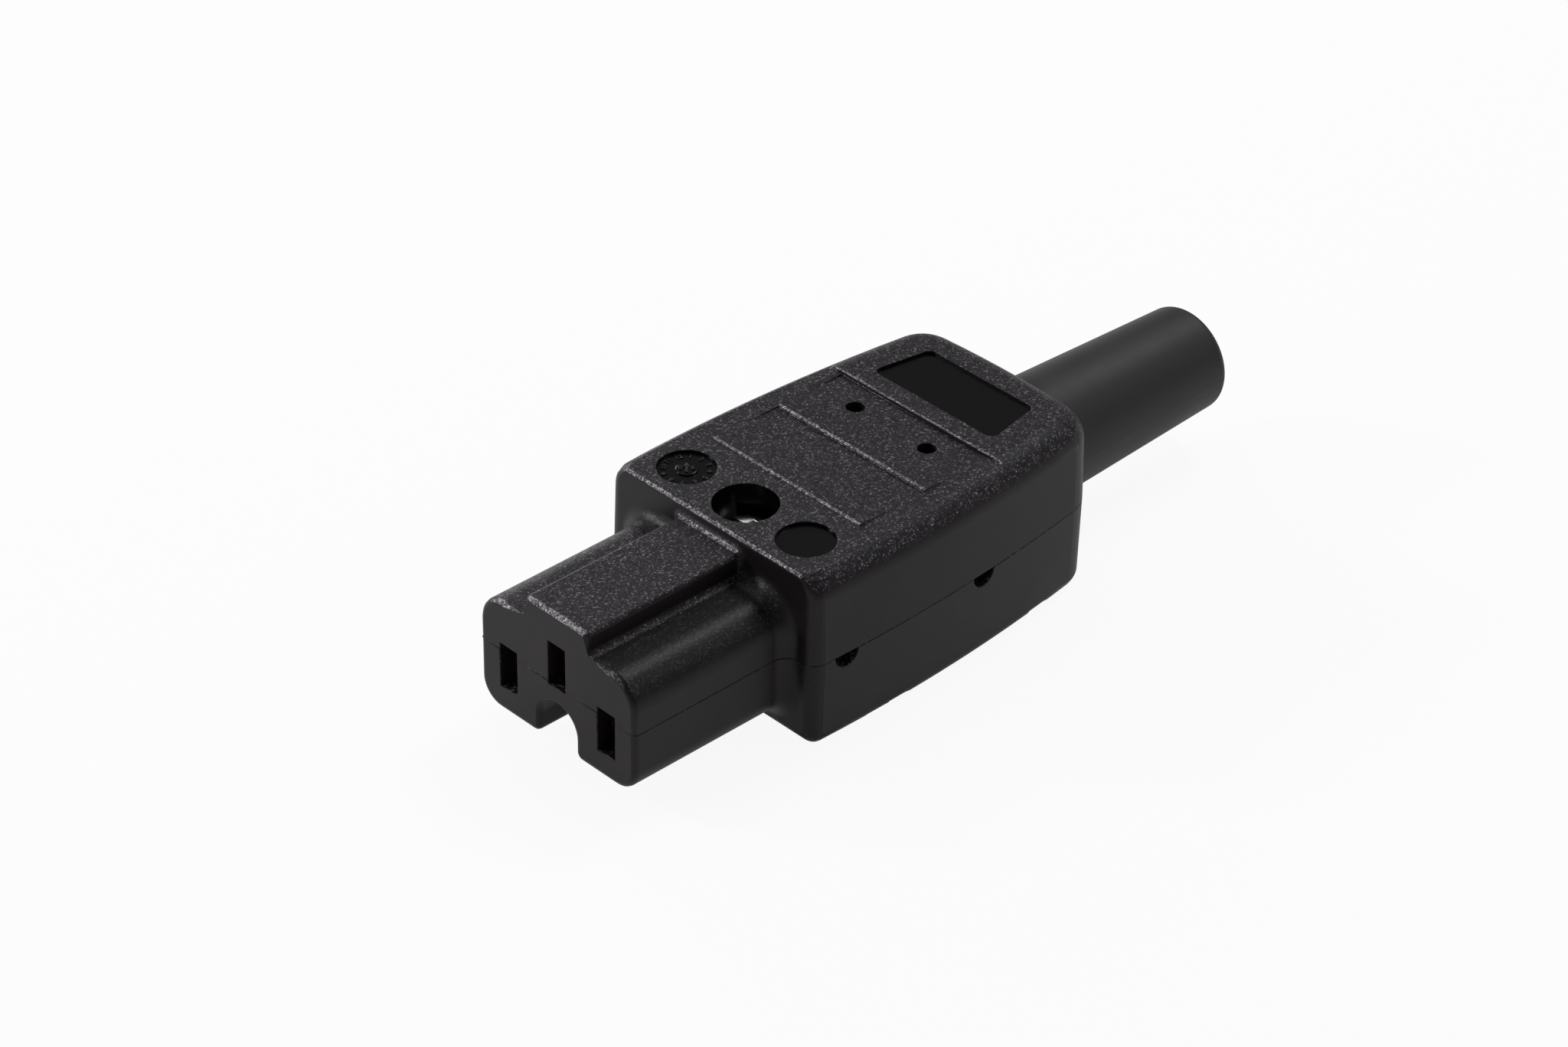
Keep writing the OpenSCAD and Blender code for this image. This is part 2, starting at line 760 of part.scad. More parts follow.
// Screw standing on its tip at z = 0, with a slotted head above its shank
module slotted_screw(shank, head) {
    rim = head[1] * head_shares[0];
    difference() {
        union() {
            cylinder(r = thread_radius, h = shank, $fn = round_steps);
            translate([0, 0, shank])
                cylinder(r = head[0], h = rim, $fn = round_steps);
            translate([0, 0, shank + rim])
                cylinder(r1 = head[0], r2 = head[0] * head_shares[1], h = head[1] - rim, $fn = round_steps);
        }
        translate([-head[0] * 2, -driver_slot[0] / 2, shank + head[1] - driver_slot[1]])
            cube([head[0] * 4, driver_slot[0], body_height]);
    }
}

module housing_screw() {
    cross = housing_head[0] * cross_share;
    color("#b9bbbe")
    translate([0, screw_y, seat_height - housing_shank])
        difference() {
            slotted_screw(housing_shank, housing_head);
            translate([-driver_slot[0] / 2, -cross, housing_shank + housing_head[1] - driver_slot[1]])
                cube([driver_slot[0], cross * 2, body_height]);
        }
}

module housing_nut() {
    color("#b9bbbe")
    translate([0, screw_y, nut_pocket - nut_size[1]])
        difference() {
            cylinder(d = nut_size[0] / cos(30), h = nut_size[1], $fn = 6);
            translate([0, 0, -over])
                cylinder(r = thread_radius, h = nut_size[1] + over * 2, $fn = round_steps);
        }
}

// Plan of one contact blade, with its pinch and its flared mouth
module blade_plan() {
    pinch = pinch_gap / 2;
    mouth = slot_size[0] / 2;
    root = chamber_half[0] - play * 4 - blade_thickness;
    near = blade_length * blade_shares[0];
    mid = blade_length * blade_shares[1];
    far = blade_length * blade_shares[2];
    polygon([
        [mouth, 0],
        [pinch, near],
        [pinch, mid],
        [root, far],
        [root, blade_length],
        [root + blade_thickness, blade_length],
        [root + blade_thickness, far],
        [pinch + blade_thickness, mid],
        [pinch + blade_thickness, near],
        [mouth + blade_thickness, 0]]);
}

// Strip in plan through a list of points
module strip_plan(points) {
    half = tail_thickness / 2;
    for (i = [0:len(points) - 2]) {
        step = points[i + 1] - points[i];
        normal = [-step[1], step[0]] / norm(step) * half;
        polygon([points[i] + normal, points[i + 1] + normal, points[i + 1] - normal, points[i] - normal]);
        if (i > 0)
            translate(points[i])
                circle(r = half, $fn = round_steps);
    }
}

// Contact with its mouth at y = 0: two blades, a strap and a tail at its own height
module socket_contact(points, tail_rise) {
    root = chamber_half[0] - play * 4;
    for (side = [0, 1])
        mirror([side, 0, 0])
            translate([0, 0, -blade_half_height])
                linear_extrude(height = blade_half_height * 2)
                    blade_plan();
    translate([-root, blade_length - tail_thickness, -chamber_half[1]])
        cube([root * 2, tail_thickness, chamber_half[1] * 2]);
    translate([0, 0, tail_rise - tail_height / 2])
        linear_extrude(height = tail_height)
            strip_plan(points);
}

module pole_contact(side) {
    start = contact_front - face_y;
    color("#c9a24b")
    translate([side * pin_half, contact_front, line_height])
        socket_contact([
            [0, blade_length - tail_thickness / 2],
            [0, block_run - start - rib * 2],
            [side * (block_offset - pin_half), block_run - start - rib / 2],
            [side * (block_offset - pin_half), block_run - start]], 0);
}

module line_contact() {
    pole_contact(-1);
}

module neutral_contact() {
    pole_contact(1);
}

module earth_contact() {
    start = contact_front - face_y;
    color("#c9a24b")
    translate([0, contact_front, earth_height])
        socket_contact([
            [0, blade_length - tail_thickness / 2],
            [0, notch_depth - start + tail_thickness],
            [tail_set, block_run - start - rib * 2],
            [tail_set, block_run - start + block_size[1] * tail_share],
            [0, earth_block_run - start - rib],
            [0, earth_block_run - start]], tail_mid - earth_height);
}

// Closed steel band round the blades at their pinch
module spring_band() {
    inner_x = pinch_gap / 2 + blade_thickness;
    color("#9a9ea3")
    translate([0, blade_length * blade_shares[0], 0])
        rotate([-90, 0, 0])
            linear_extrude(height = blade_length * (blade_shares[1] - blade_shares[0]))
                difference() {
                    square([(inner_x + band_thickness) * 2, (blade_half_height + band_thickness) * 2],
                        center = true);
                    square([inner_x * 2, blade_half_height * 2], center = true);
                }
}

module line_spring() {
    translate([-pin_half, contact_front, line_height])
        spring_band();
}

module neutral_spring() {
    translate([pin_half, contact_front, line_height])
        spring_band();
}

module earth_spring() {
    translate([0, contact_front, earth_height])
        spring_band();
}

// Terminal block with its front underside edge middle at the origin
module terminal_block() {
    hole_y = block_size[1] - window_size[1] / 2;
    color("#c9a24b")
    difference() {
        translate([-block_size[0] / 2, 0, 0])
            cube(block_size);
        translate([-window_size[0] / 2, block_size[1] - window_size[1], window_sill])
            cube([window_size[0], window_size[1] + over, window_size[2]]);
        translate([0, hole_y, window_sill])
            cylinder(r = thread_radius, h = block_size[2], $fn = round_steps);
    }
}

module line_terminal() {
    translate([-block_offset, face_y + block_run, block_bottom])
        terminal_block();
}

module neutral_terminal() {
    translate([block_offset, face_y + block_run, block_bottom])
        terminal_block();
}

module earth_terminal() {
    translate([0, face_y + earth_block_run, earth_block_bottom])
        terminal_block();
}

module terminal_screws() {
    hole_y = block_size[1] - window_size[1] / 2;
    tip = window_sill + window_size[2] / 2;
    color("#b9bbbe")
    for (place = [[-block_offset, block_run, block_bottom], [0, earth_block_run, earth_block_bottom],
            [block_offset, block_run, block_bottom]])
        translate([place[0], face_y + place[1] + hole_y, place[2] + tip])
            slotted_screw(block_size[2] - tip, small_head);
}

module terminal_plates() {
    hole_y = block_size[1] - window_size[1] / 2;
    tip = window_sill + window_size[2] / 2;
    color("#c9a24b")
    for (place = [[-block_offset, block_run, block_bottom], [0, earth_block_run, earth_block_bottom],
            [block_offset, block_run, block_bottom]])
        translate([place[0] - plate_size[0] / 2, face_y + place[1] + hole_y - plate_size[1] / 2,
            place[2] + tip - plate_size[2]])
            cube(plate_size);
}

module divider() {
    start = face_y + earth_block_run - rib / 2;
    length = block_size[1] + rib;
    inner = block_size[0] / 2 + play;
    color("#4a4742")
    difference() {
        union() {
            translate([-base_half_width, start, floor_height])
                cube([base_half_width * 2, length, rib]);
            translate([-inner - rib, start, floor_height])
                cube([(inner + rib) * 2, length, roof_height - floor_height]);
        }
        translate([-inner, start - over, earth_block_bottom])
            cube([inner * 2, length + over * 2, body_height]);
        for (side = [-1, 1])
            translate([side * block_offset, face_y + earth_block_run + block_size[1] / 2, 0])
                cylinder(r = rib, h = body_height / 2, $fn = round_steps);
    }
}

module cord_clamp() {
    color("#3a3a3d")
    translate([0, clamp_y + clamp_length / 2, cord_height])
        difference() {
            rotate([90, 0, 0])
                linear_extrude(height = clamp_length)
                    difference() {
                        union() {
                            translate([-clamp_half_width, 0])
                                square([clamp_half_width * 2, clamp_thickness]);
                            circle(r = clamp_hump, $fn = round_steps * 2);
                        }
                        circle(r = clamp_seat, $fn = round_steps * 2);
                        translate([-clamp_half_width, -clamp_half_width])
                            square([clamp_half_width * 2, clamp_half_width]);
                    }
            for (side = [-1, 1])
                translate([side * clamp_offset, -clamp_length / 2, 0]) {
                    translate([0, 0, -over])
                        cylinder(r = thread_radius + play, h = clamp_thickness + over * 2,
                            $fn = round_steps);
                    translate([0, 0, clamp_thickness])
                        cylinder(r = small_head[0] + play, h = clamp_hump, $fn = round_steps);
                }
        }
}

module clamp_screws() {
    grip = insert_size[1] * thread_share;
    color("#b9bbbe")
    for (side = [-1, 1])
        translate([side * clamp_offset, clamp_y, cord_height - grip])
            slotted_screw(grip + clamp_thickness, small_head);
}

module clamp_inserts() {
    color("#c9a24b")
    for (side = [-1, 1])
        translate([side * clamp_offset, clamp_y, cord_height - insert_size[1]])
            difference() {
                cylinder(r = insert_size[0], h = insert_size[1], $fn = round_steps);
                translate([0, 0, insert_size[1] * insert_floor_share])
                    cylinder(r = thread_radius, h = insert_size[1], $fn = round_steps);
            }
}

upper_shell();
lower_shell();
cord_sleeve();
housing_screw();
housing_nut();
line_contact();
neutral_contact();
earth_contact();
line_spring();
neutral_spring();
earth_spring();
line_terminal();
neutral_terminal();
earth_terminal();
terminal_screws();
terminal_plates();
divider();
cord_clamp();
clamp_screws();
clamp_inserts();
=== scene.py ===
import json
import math

import bmesh
import bpy
from mathutils import Matrix, Vector
from mathutils.bvhtree import BVHTree


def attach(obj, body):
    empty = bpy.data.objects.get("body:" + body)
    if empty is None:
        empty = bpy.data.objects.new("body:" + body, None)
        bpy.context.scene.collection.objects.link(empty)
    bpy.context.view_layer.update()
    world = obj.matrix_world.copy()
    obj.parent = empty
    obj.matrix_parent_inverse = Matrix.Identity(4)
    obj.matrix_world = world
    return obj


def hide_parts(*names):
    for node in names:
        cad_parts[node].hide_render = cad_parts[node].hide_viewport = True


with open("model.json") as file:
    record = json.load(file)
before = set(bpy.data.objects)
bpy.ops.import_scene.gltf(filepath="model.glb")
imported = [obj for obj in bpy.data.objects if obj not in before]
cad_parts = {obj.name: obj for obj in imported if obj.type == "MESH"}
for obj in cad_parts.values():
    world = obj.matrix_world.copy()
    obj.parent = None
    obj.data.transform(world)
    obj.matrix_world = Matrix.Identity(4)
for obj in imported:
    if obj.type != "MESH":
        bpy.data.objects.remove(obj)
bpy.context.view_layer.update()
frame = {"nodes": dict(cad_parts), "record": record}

MM = 0.001
nodes = frame["nodes"]
scene = bpy.context.scene


def mm(*values):
    """Millimetres to a vector in metres."""
    return Vector([value * MM for value in values])


# Camera, fitted to the photograph: where it looks, its turn, how far back it stands and its lens
LOOKS_AT = mm(2.987, -17.410, 17.503)
AZIMUTH, ELEVATION, ROLL = (math.radians(angle) for angle in (46.006, 34.454, 0.838))
STANDS_OFF = 477.58 * MM
SENSOR = 36
PHOTO_WIDTH = 2048
FOCAL_IN_PIXELS = 6441.2


def make_camera():
    """The photograph's camera."""
    back = Vector((
        math.sin(AZIMUTH) * math.cos(ELEVATION),
        -math.cos(AZIMUTH) * math.cos(ELEVATION),
        math.sin(ELEVATION)))
    right = Vector((math.cos(AZIMUTH), math.sin(AZIMUTH), 0))
    up = back.cross(right)
    turned_right = math.cos(ROLL) * right + math.sin(ROLL) * up
    turned_up = math.cos(ROLL) * up - math.sin(ROLL) * right
    turn = Matrix((turned_right, turned_up, back)).transposed().to_4x4()
    camera = bpy.data.objects.new("camera", bpy.data.cameras.new("camera"))
    scene.collection.objects.link(camera)
    camera.matrix_world = Matrix.Translation(LOOKS_AT + back * STANDS_OFF) @ turn
    camera.data.sensor_width = SENSOR
    camera.data.lens = SENSOR * FOCAL_IN_PIXELS / PHOTO_WIDTH
    camera.data.clip_start = 0.01
    camera.data.clip_end = 50
    scene.camera = camera


make_camera()


# Materials
def linear(hex_colour):
    """sRGB hex to linear RGBA."""
    channels = [int(hex_colour[i:i + 2], 16) / 255 for i in (1, 3, 5)]
    return (*[c / 12.92 if c <= 0.04045 else ((c + 0.055) / 1.055) ** 2.4 for c in channels], 1)


def add(tree, kind, inputs=None, stops=(), **settings):
    """Adds one node. Settings go to its properties or sockets. Inputs are linked where they are
    sockets and set where they are values. Stops go to its colour ramp."""
    made = tree.nodes.new(kind)
    for key, value in settings.items():
        if hasattr(made, key):
            setattr(made, key, value)
        else:
            made.inputs[key.replace("_", " ")].default_value = value
    for key, source in (inputs or {}).items():
        if isinstance(source, bpy.types.NodeSocket):
            tree.links.new(source, made.inputs[key])
        else:
            made.inputs[key].default_value = source
    for _ in stops[2:]:
        made.color_ramp.elements.new(1)
    for i, (position, colour) in enumerate(stops):
        made.color_ramp.elements[i].position = position
        made.color_ramp.elements[i].color = linear(colour)
    return made


def new_material(name):
    """An empty material, its tree and output, and the place on the piece that patterns follow."""
    material = bpy.data.materials.new(name)
    material.use_nodes = True
    tree = material.node_tree
    tree.nodes.clear()
    out = add(tree, "ShaderNodeOutputMaterial")
    place = add(tree, "ShaderNodeTexCoord").outputs["Object"]
    return material, tree, out, place


def per_metre(size_mm):
    """Texture scale for a pattern whose cells are size_mm across."""
    return 1 / (size_mm * MM)


# Direction in which a rounded front edge faces at its crest, where it would mirror the front-left
# lamp; the painted glint is brightest on faces turned this way
CREST = Vector((0, -math.sqrt(0.5), math.sqrt(0.5)))


def housing_plastic():
    """Glass-filled polyamide from a spark-eroded mould: near black, with a coarse grain on whatever
    looks up whose pale specks are painted glitter, a painted glint on the front edges where they
    would mirror the front-left lamp, fine satin on the drafted sides and polished floors in the
    recesses. Shade is painted on the nose's shoulder beside the ridge. The real grain is about 0.1
    mm across and is drawn at 0.155 mm, so that it shows."""
    material, tree, out, place = new_material("moulded_polyamide")
    normal = add(tree, "ShaderNodeNewGeometry").outputs["Normal"]
    facing = add(tree, "ShaderNodeSeparateXYZ", {0: normal}).outputs["Z"]

    # Where the grain lies: on what looks up, less where it is polished and where shade is painted
    # on the nose
    polish_and_shade = add(tree, "ShaderNodeAttribute", attribute_name="polish_and_shade").outputs["Fac"]
    upward = add(tree, "ShaderNodeMapRange", {"Value": facing}, From_Min=0.3, From_Max=0.65,
                 interpolation_type="SMOOTHSTEP").outputs[0]
    bare = add(tree, "ShaderNodeMath", {0: 1, 1: polish_and_shade}, operation="SUBTRACT").outputs[0]
    grained = add(tree, "ShaderNodeMath", {0: upward, 1: bare}, operation="MULTIPLY").outputs[0]

    grit = add(tree, "ShaderNodeTexNoise", {"Vector": place}, Scale=per_metre(0.34),
               Detail=3.0, Roughness=0.75).outputs[0]
    facet = add(tree, "ShaderNodeTexVoronoi", {"Vector": place},
                Scale=per_metre(0.155)).outputs["Color"]
    cloud = add(tree, "ShaderNodeTexNoise", {"Vector": place}, Scale=per_metre(7),
                Detail=3.0).outputs[0]
    fine = add(tree, "ShaderNodeTexNoise", {"Vector": place}, Scale=per_metre(0.22),
               Detail=2.0).outputs[0]

    # The grain's own dark tone, with pale specks painted in as glitter from the lamps
    grain_and_glitter_tone = add(tree, "ShaderNodeValToRGB", {0: facet}, stops=[
        (0.0, "#040304"), (0.4, "#0f0c10"), (0.72, "#2f2930"), (1.0, "#8f878f")]).outputs[0]
    # Painted glint: pale to white specks for an edge that mirrors a lamp
    glint_tone = add(tree, "ShaderNodeValToRGB", {0: facet}, stops=[
        (0.0, "#151216"), (0.3, "#4a444b"), (0.65, "#9a949b"), (1.0, "#f4f0f4")]).outputs[0]
    satin_tone = add(tree, "ShaderNodeValToRGB", {0: cloud}, stops=[
        (0.35, "#171213"), (0.65, "#1d1719")]).outputs[0]
    tone = add(tree, "ShaderNodeMix", {"Factor": grained, 6: satin_tone, 7: grain_and_glitter_tone},
               data_type="RGBA").outputs[2]

    # Painted glint on the crest of the front edges, which would mirror the front-left lamp, and on
    # the painted glint strip behind each grip step
    edge = add(tree, "ShaderNodeAttribute", attribute_name="front_edge").outputs["Fac"]
    crest = add(tree, "ShaderNodeVectorMath", {0: normal, 1: CREST},
                operation="DOT_PRODUCT").outputs["Value"]
    crested = add(tree, "ShaderNodeMapRange", {"Value": crest}, From_Min=0.87, From_Max=0.96,
                  interpolation_type="SMOOTHSTEP").outputs[0]
    glint_strip = add(tree, "ShaderNodeAttribute", attribute_name="glint_strip").outputs["Fac"]
    edge_glint = add(tree, "ShaderNodeMath", {0: edge, 1: crested}, operation="MULTIPLY").outputs[0]
    glinting = add(tree, "ShaderNodeMath", {0: edge_glint, 1: glint_strip}, operation="MAXIMUM").outputs[0]
    tone = add(tree, "ShaderNodeMix", {"Factor": glinting, 6: tone, 7: glint_tone},
               data_type="RGBA").outputs[2]

    grain_depth = add(tree, "ShaderNodeMapRange", {"Value": grained}, To_Max=0.85).outputs[0]
    satin_depth = add(tree, "ShaderNodeMapRange", {"Value": bare}, To_Max=0.2).outputs[0]
    bump = add(tree, "ShaderNodeBump", {"Height": grit, "Strength": grain_depth},
               Distance=0.1 * MM).outputs[0]
    bump = add(tree, "ShaderNodeBump", {"Height": facet, "Strength": grain_depth, "Normal": bump},
               Distance=0.03 * MM).outputs[0]
    bump = add(tree, "ShaderNodeBump", {"Height": fine, "Strength": satin_depth, "Normal": bump},
               Distance=0.04 * MM).outputs[0]

    # Satin walls, smooth recess floors, and a grain that glitters unevenly
    sheen = add(tree, "ShaderNodeMath", {0: polish_and_shade, 1: 3}, operation="POWER").outputs[0]
    satin_gloss = add(tree, "ShaderNodeMapRange", {"Value": sheen}, To_Min=0.42,
                      To_Max=0.22).outputs[0]
    grain_gloss = add(tree, "ShaderNodeMapRange", {"Value": grit}, From_Min=0.3, From_Max=0.7,
                      To_Min=0.55, To_Max=0.3).outputs[0]
    gloss = add(tree, "ShaderNodeMix",
                {"Factor": grained, "A": satin_gloss, "B": grain_gloss}).outputs[0]
    # Polished faces go near black, and so does the nose's shoulder beside the ridge where shade is
    # painted
    tone = add(tree, "ShaderNodeMix", {"Factor": polish_and_shade, 6: tone, 7: linear("#080708")},
               data_type="RGBA").outputs[2]
    shader = add(tree, "ShaderNodeBsdfPrincipled",
                 {"Base Color": tone, "Roughness": gloss, "Normal": bump},
                 IOR=1.5, Specular_IOR_Level=0.25)
    tree.links.new(shader.outputs[0], out.inputs[0])
    return material


def sleeve_rubber():
    """Moulded synthetic rubber: smooth and matte, with a faint grey bloom in soft patches."""
    material, tree, out, place = new_material("moulded_rubber")
    cloud = add(tree, "ShaderNodeTexNoise", {"Vector": place}, Scale=per_metre(5),
                Detail=4.0).outputs[0]
    skin = add(tree, "ShaderNodeTexNoise", {"Vector": place}, Scale=per_metre(0.25),
               Detail=3.0).outputs[0]
    tone = add(tree, "ShaderNodeValToRGB", {0: cloud}, stops=[(0.3, "#1a1819"), (0.7, "#232021")])
    bump = add(tree, "ShaderNodeBump", {"Height": skin}, Strength=0.2, Distance=0.05 * MM)
    rough = add(tree, "ShaderNodeMapRange", {"Value": cloud}, To_Min=0.5, To_Max=0.62)
    shader = add(tree, "ShaderNodeBsdfPrincipled",
                 {"Base Color": tone.outputs[0], "Roughness": rough.outputs[0],
                  "Normal": bump.outputs[0]}, IOR=1.5)
    tree.links.new(shader.outputs[0], out.inputs[0])
    return material


def metal(name, low, high, roughness, mottle_mm):
    """Bare or plated metal: bright, with the small uneven patches that pressing or plating
    leaves."""
    material, tree, out, place = new_material(name)
    mottle = add(tree, "ShaderNodeTexNoise", {"Vector": place}, Scale=per_metre(mottle_mm),
                 Detail=3.0).outputs[0]
    tone = add(tree, "ShaderNodeValToRGB", {0: mottle}, stops=[(0.3, low), (0.7, high)])
    bump = add(tree, "ShaderNodeBump", {"Height": mottle}, Strength=0.15, Distance=0.03 * MM)
    rough = add(tree, "ShaderNodeMapRange", {"Value": mottle}, To_Min=roughness * 0.8,
                To_Max=roughness * 1.25)
    shader = add(tree, "ShaderNodeBsdfPrincipled",
                 {"Base Color": tone.outputs[0], "Roughness": rough.outputs[0],
                  "Normal": bump.outputs[0]}, Metallic=1.0)
    tree.links.new(shader.outputs[0], out.inputs[0])
    return material


def moulded(name, low, high, roughness, grain_mm):
    """Plain moulded plastic of the hidden parts: half matte, with an even fine grain."""
    material, tree, out, place = new_material(name)
    grain = add(tree, "ShaderNodeTexNoise", {"Vector": place}, Scale=per_metre(grain_mm),
                Detail=3.0).outputs[0]
    tone = add(tree, "ShaderNodeValToRGB", {0: grain}, stops=[(0.3, low), (0.7, high)])
    bump = add(tree, "ShaderNodeBump", {"Height": grain}, Strength=0.2, Distance=0.05 * MM)
    shader = add(tree, "ShaderNodeBsdfPrincipled",
                 {"Base Color": tone.outputs[0], "Normal": bump.outputs[0]},
                 Roughness=roughness, IOR=1.5)
    tree.links.new(shader.outputs[0], out.inputs[0])
    return material


finishes = {
    "housing_plastic": housing_plastic(),
    "sleeve_rubber": sleeve_rubber(),
    "screw_steel": metal("zinc_plated_steel", "#b4b6b8", "#d4d6d6", 0.22, 0.3),
    "spring_steel": metal("spring_steel", "#8f9297", "#a9acb0", 0.3, 0.2),
    "contact_brass": metal("pressed_brass", "#c69c4c", "#dcb868", 0.28, 0.25),
    "divider_plastic": moulded("moulded_urea", "#8a7f6c", "#978c78", 0.5, 0.5),
    "clamp_plastic": moulded("clamp_polyamide", "#2a2a2c", "#38383b", 0.5, 0.4),
}
slots = {part["node"]: part["material_slot"] for part in frame["record"]["subparts"]}
for name, obj in nodes.items():
    for slot in obj.material_slots:
        slot.material = finishes[slots[name]]


# Sizes of the housing in millimetres: y runs from the nose's face to the sleeve, z up from the foot
FACE_Y = -44.25
FRONT_Y = -24.5
FLARE = 1.8
DRAFT = 0.02
PARTING_Z = 9.7
TOP_Z = 19.7
TOP_R = 3.0
STEP_YS = (-14.45, -5.65, 3.25)
STEP_HALF = 10.3
RIDGE_X = 4.6
# The round recesses and the counterbore: x, y and radius
RECESS_DISCS = ((-8.45, -19.7, 3.0), (8.45, -19.7, 3.0), (0.0, -19.7, 3.35))
PANEL_YS = (5.6, 12.9)
PANEL_HALF = 8.6
# The contact slots in the nose's face: x, z, and half a width and a height that clear them
CONTACT_SLOTS = ((-7.0, 8.5, 1.6, 4.0), (7.0, 8.5, 1.6, 4.0), (0.0, 11.5, 1.6, 4.0))
# The body's front corners: centre and radius in the plan, the zone that they fill, and the heights
# above the start of the side rounding at which they are cut
CORNER_X = 13.12
CORNER_Y = -22.86
CORNER_R = 1.5
CORNER_ZONE_X = 9.85
CORNER_ZONE_Y = -25.125
CORNER_CUTS = (0.02, 0.7, 1.2, 1.6, 1.9, 2.15)

# Widths of the rounded edges
FACE_EDGE = 0.55
STEP_EDGE = 0.16
SMALL_EDGE = 0.1
SEAM_EDGE = 0.1
SCREW_EDGE = 0.14

# Painted light and shade: a painted glint strip behind each grip step, and the side of the nose
# beside the ridge, painted darker with less grain and less glint as it lies in the ridge's shadow
GLINT_STRIP_WIDTH = 0.32
GLINT_STRIP_SHARE = 0.65
SHADED_X = 5.2
SHOULDER_SHADE = 0.5
SHADED_GLINT = 0.35
ROOT_GLINT = 0.1

# How near counts as the same place, and how far below the top the stepped surface reaches
NEAR = 0.01
TOP_BAND = 0.6
HAIR = 0.05
SHARP = math.radians(25)
FLAT = math.radians(0.3)
WELD = 2e-6
CUT_SNAP = 1e-7


def welded(node):
    """A copy of a CAD node's mesh with its loose triangles joined."""
    mesh = bmesh.new()
    mesh.from_mesh(nodes[node].data)
    bmesh.ops.remove_doubles(mesh, verts=mesh.verts, dist=WELD)
    return mesh


def merge_flat_faces(mesh):
    """Makes one face of the triangles that lie in one plane."""
    bmesh.ops.dissolve_limit(mesh, angle_limit=FLAT, verts=mesh.verts, edges=mesh.edges)


def cut(mesh, faces, point, way):
    """Cuts faces along the plane through a point, square to a direction."""
    parts = dict.fromkeys(part for face in faces for part in (face, *face.edges, *face.verts))
    bmesh.ops.bisect_plane(mesh, geom=list(parts), plane_co=point, plane_no=way, dist=CUT_SNAP)


def mesh_of(obj):
    """A plain mesh of an object as its modifiers or its curve leave it."""
    return bpy.data.meshes.new_from_object(
        obj.evaluated_get(bpy.context.evaluated_depsgraph_get()))


def new_piece(name, mesh, finish, sharp_degrees):
    """An object from a finished mesh. Edges that turn by more than the angle stay sharp."""
    data = bpy.data.meshes.new(name)
    mesh.to_mesh(data)
    mesh.free()
    data.set_sharp_from_angle(angle=math.radians(sharp_degrees))
    data.materials.append(finishes[finish])
    piece = bpy.data.objects.new(name, data)
    scene.collection.objects.link(piece)
    return piece


def lay_foot_down(mesh):
    """Lays the foot of the nose's flare against the drafted front of the body. The slivers that
    fold back there are dissolved."""
    for corner in mesh.verts:
        share = (corner.co.y / MM - FRONT_Y + FLARE) / FLARE
        if 0 < share < 1.003:
            corner.co.y += share * DRAFT * abs(corner.co.z - PARTING_Z * MM)
    foot = [corner for corner in mesh.verts
            if FRONT_Y - 0.05 < corner.co.y / MM < FRONT_Y + 0.3]
    bmesh.ops.remove_doubles(mesh, verts=foot, dist=0.02 * MM)
    merge_flat_faces(mesh)
    mesh.normal_update()
    folded = [face for face in mesh.faces
              if face.normal.y > 0.99 and face.calc_area() < 0.01 * MM * MM
              and FRONT_Y < face.calc_center_median().y / MM < FRONT_Y + 0.25]
    creases = dict.fromkeys(edge for face in folded for edge in face.edges
                            if any(side.normal.y < -0.99 for side in edge.link_faces))
    bmesh.ops.dissolve_edges(mesh, edges=list(creases), use_verts=False)


def round_front_corners(mesh):
    """Carries the wide rounding of the body's side edges on round its front corners."""
    start = TOP_Z - TOP_R
    for height in CORNER_CUTS:
        faces = [face for face in mesh.faces if all(
            corner.co.y < CORNER_Y * MM and abs(corner.co.x) > (CORNER_X - 0.3) * MM
            for corner in face.verts)]
        cut(mesh, faces, mm(0, 0, start + height), (0, 0, 1))
    for corner in mesh.verts:
        x, y, z = corner.co / MM
        if y > CORNER_Y or z < start or abs(x) < CORNER_ZONE_X:
            continue
        plan = CORNER_X + math.sqrt(max(0.0, CORNER_R ** 2 - (CORNER_Y - y) ** 2))
        inset = TOP_R - math.sqrt(max(0.0, TOP_R ** 2 - (z - start) ** 2))
        limit = plan - DRAFT * (z - start) - inset
        if abs(x) > limit and y > CORNER_Y - CORNER_R - 0.1:
            corner.co.x = math.copysign(limit, x) * MM


def on_stepped_top(face):
    """Whether a face belongs to the stepped top."""
    return face.normal.z > 0.95 and face.calc_center_median().z > (TOP_Z - TOP_BAND) * MM


def shell_mesh(node):
    """A closed mesh of one shell, cut where the painted glint strip behind each grip step ends."""
    mesh = welded(node)
    lay_foot_down(mesh)
    round_front_corners(mesh)
    for y in STEP_YS:
        cut(mesh, [face for face in mesh.faces if on_stepped_top(face)],
            mm(0, y + GLINT_STRIP_WIDTH, 0), (0, 1, 0))
    return mesh


def is_worn(face):
    """Whether a face is the strip behind a grip step's edge, where a pale glint is painted."""
    return on_stepped_top(face) and any(
        all(-NEAR < corner.co.y / MM - y < GLINT_STRIP_WIDTH + NEAR for corner in face.verts)
        for y in STEP_YS)


def is_sliver(face):
    """Whether a face is only a hair's breadth wide."""
    return face.calc_area() < HAIR * MM * max(edge.calc_length() for edge in face.edges)


def is_outer_edge(edge, walls):
    """Whether an edge is sharp and convex, and nothing of either shell stands in front of it."""
    if not edge.is_convex or edge.calc_face_angle(0) < SHARP:
        return False
    if any(map(is_sliver, edge.link_faces)):
        return False
    way = (edge.link_faces[0].normal + edge.link_faces[1].normal).normalized()
    start = (edge.verts[0].co + edge.verts[1].co) / 2 + way * 0.05 * MM
    return all(wall.ray_cast(start, way)[0] is None for wall in walls)


